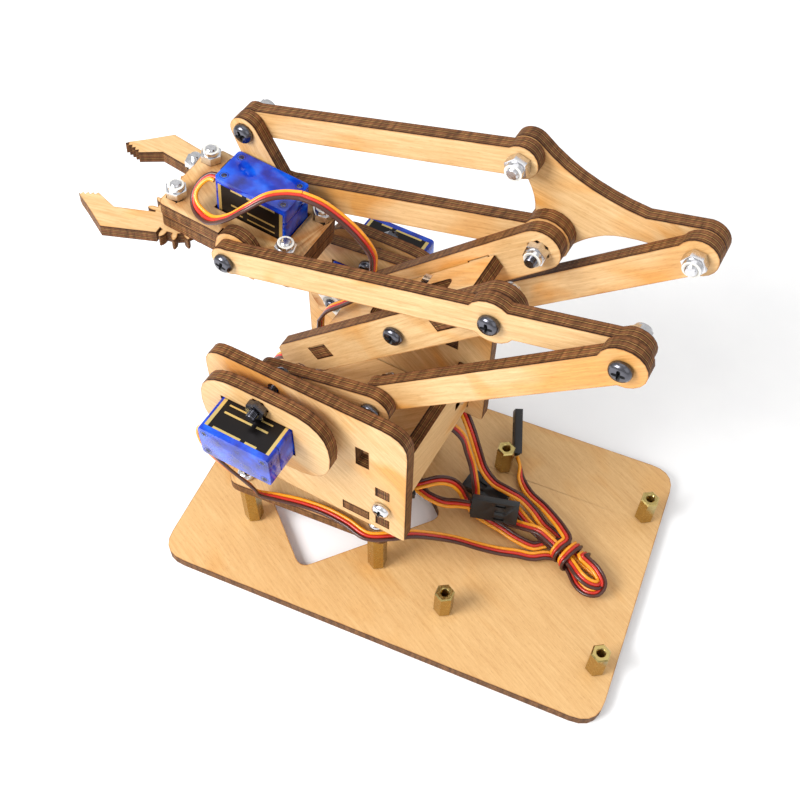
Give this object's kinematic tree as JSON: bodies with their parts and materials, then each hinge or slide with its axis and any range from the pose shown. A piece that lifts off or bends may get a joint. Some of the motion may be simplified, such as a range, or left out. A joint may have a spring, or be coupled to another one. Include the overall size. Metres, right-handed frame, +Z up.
{
  "type": "robot arm kit",
  "caption": "Desktop robot arm of laser-cut plywood on a flat base, with a swivelling turntable, parallel links, geared claws and small servo motors.",
  "frame": {"origin": "on the underside of the base plate, under the middle of the control board bay behind the turntable", "axes": "+X forward along the base plate, towards the side the arm reaches; +Y to the near side, where the elbow servo is; +Z up"},
  "size_m": [0.187, 0.0984, 0.1538],
  "materials": {
    "plywood": "bare birch plywood, laser-cut, with burnt edges",
    "brass": "machined",
    "servo_case": "translucent deep blue moulded case",
    "nylon": "moulded white nylon",
    "zinc": "bright plated steel screws and nuts",
    "dark_screw": "dark nickel-plated screws",
    "lead_wire": "soft insulated wires in brown, red and orange",
    "plug": "black moulded plug",
    "label": "printed foil sticker"
  },
  "bodies": {
    "base": {"base_plate": "plywood", "tall_standoff_1": "brass", "tall_standoff_2": "brass", "tall_standoff_3": "brass", "tall_standoff_4": "brass", "board_standoff_1": "brass", "board_standoff_2": "brass", "board_standoff_3": "brass", "board_standoff_4": "brass", "servo_carrier": "plywood", "base_servo": "servo_case", "near_lead_lower": "lead_wire", "near_lead_tail": "lead_wire", "near_lead_plug": "plug", "far_lead_lower": "lead_wire", "far_lead_tail": "lead_wire", "far_lead_plug": "plug", "gripper_lead_base": "lead_wire", "gripper_lead_tail": "lead_wire", "gripper_lead_plug": "plug", "base_lead": "lead_wire", "base_lead_plug": "plug", "lead_bundle": "lead_wire"},
    "turntable": {"turntable_horn": "nylon", "turntable_plate": "plywood", "near_side_plate": "plywood", "far_side_plate": "plywood", "rear_cross_plate": "plywood", "near_servo_collar": "plywood", "far_servo_collar": "plywood", "near_servo": "servo_case", "far_servo": "servo_case", "near_lead_upper": "lead_wire", "far_lead_upper": "lead_wire", "gripper_lead_inner": "lead_wire"},
    "upper_arm": {"upper_arm_near_plate": "plywood", "upper_arm_far_plate": "plywood", "upper_arm_crossbeam": "plywood", "shoulder_horn": "nylon", "gripper_lead_shoulder": "lead_wire"},
    "triangle": {"triangle_plate": "plywood"},
    "forearm": {"forearm_near_bar": "plywood", "forearm_far_bar": "plywood", "gripper_lead_middle": "lead_wire"},
    "gripper": {"gripper_top_plate": "plywood", "gripper_lower_plate": "plywood", "gripper_servo": "servo_case", "near_ear": "plywood", "far_ear": "plywood", "gripper_lead_front": "lead_wire"},
    "top_link": {"top_link": "plywood"},
    "lever": {"elbow_lever": "plywood", "lever_horn": "nylon"},
    "lever_pin": {"lever_pin": "zinc"},
    "push_link": {"push_link": "plywood"},
    "rear_link": {"rear_link": "plywood"},
    "near_claw": {"near_claw": "plywood"},
    "far_claw": {"far_claw": "plywood"},
    "claw_crank": {"claw_horn": "nylon"},
    "claw_link": {"claw_link": "plywood"}
  },
  "joints": [
    {"name": "turntable_swivel", "type": "hinge", "parent": "base", "child": "turntable", "pos_m": [0.07375, 0, 0.0357], "axis": [0, 0, 1], "range_deg": [-60, 60]},
    {"name": "shoulder", "type": "hinge", "parent": "turntable", "child": "upper_arm", "pos_m": [0.08399, -0.00873, 0.076], "axis": [-0.1142, -0.9935, 0], "range_deg": [-55, 3]},
    {"name": "triangle_pivot", "type": "hinge", "parent": "upper_arm", "child": "triangle", "pos_m": [0.02236, -0.01775, 0.1287], "axis": [-0.1142, -0.9935, 0], "range_deg": [-4, 56]},
    {"name": "elbow", "type": "hinge", "parent": "triangle", "child": "forearm", "pos_m": [0.02419, -0.00185, 0.1287], "axis": [-0.1142, -0.9935, 0], "range_deg": [-4, 38]},
    {"name": "wrist", "type": "hinge", "parent": "forearm", "child": "gripper", "pos_m": [0.10099, -0.01068, 0.10812], "axis": [-0.1142, -0.9935, 0], "range_deg": [-39, 5]},
    {"name": "top_link_pivot", "type": "hinge", "parent": "triangle", "child": "top_link", "pos_m": [0.03165, -0.01861, 0.14919], "axis": [-0.1142, -0.9935, 0], "range_deg": [-5, 39]},
    {"name": "lever_pivot", "type": "hinge", "parent": "turntable", "child": "lever", "pos_m": [0.08661, 0.01412, 0.076], "axis": [-0.1142, -0.9935, 0], "range_deg": [-5, 39]},
    {"name": "lever_end_pivot", "type": "hinge", "parent": "lever", "child": "lever_pin", "pos_m": [0.05397, 0.01788, 0.08474], "axis": [-0.1142, -0.9935, 0], "range_deg": [-39, 5]},
    {"name": "push_link_pivot", "type": "hinge", "parent": "lever_pin", "child": "push_link", "pos_m": [0.05356, 0.0143, 0.08474], "axis": [-0.1142, -0.9935, 0], "range_deg": [-56, 4]},
    {"name": "rear_link_pivot", "type": "hinge", "parent": "turntable", "child": "rear_link", "pos_m": [0.04612, -0.02028, 0.0884], "axis": [-0.1142, -0.9935, 0], "range_deg": [-56, 4]},
    {"name": "near_claw_pivot", "type": "hinge", "parent": "gripper", "child": "near_claw", "pos_m": [0.12631, -0.00816, 0.10113], "axis": [-0.0935, 0.0108, 0.9956], "range_deg": [-18, 22]},
    {"name": "far_claw_pivot", "type": "hinge", "parent": "gripper", "child": "far_claw", "pos_m": [0.12442, -0.02465, 0.10113], "axis": [-0.0935, 0.0108, 0.9956], "range_deg": [-23, 19]},
    {"name": "claw_crank_pivot", "type": "hinge", "parent": "gripper", "child": "claw_crank", "pos_m": [0.10867, -0.01438, 0.09412], "axis": [-0.0935, 0.0108, 0.9956], "range_deg": [-23, 19]},
    {"name": "claw_link_pivot", "type": "hinge", "parent": "claw_crank", "child": "claw_link", "pos_m": [0.11631, -0.01748, 0.09085], "axis": [-0.0935, 0.0108, 0.9956], "range_deg": [-19, 23]}
  ],
  "couplings": [
    {"joint": "triangle_pivot", "follows": "shoulder", "ratio": -1},
    {"joint": "wrist", "follows": "elbow", "ratio": -1},
    {"joint": "top_link_pivot", "follows": "elbow", "ratio": 1},
    {"joint": "lever_pivot", "follows": "elbow", "ratio": 1},
    {"joint": "lever_end_pivot", "follows": "elbow", "ratio": -1},
    {"joint": "push_link_pivot", "follows": "shoulder", "ratio": 1},
    {"joint": "rear_link_pivot", "follows": "shoulder", "ratio": 1},
    {"joint": "far_claw_pivot", "follows": "near_claw_pivot", "ratio": -1},
    {"joint": "claw_crank_pivot", "follows": "near_claw_pivot", "ratio": -1},
    {"joint": "claw_link_pivot", "follows": "near_claw_pivot", "ratio": 1}
  ]
}
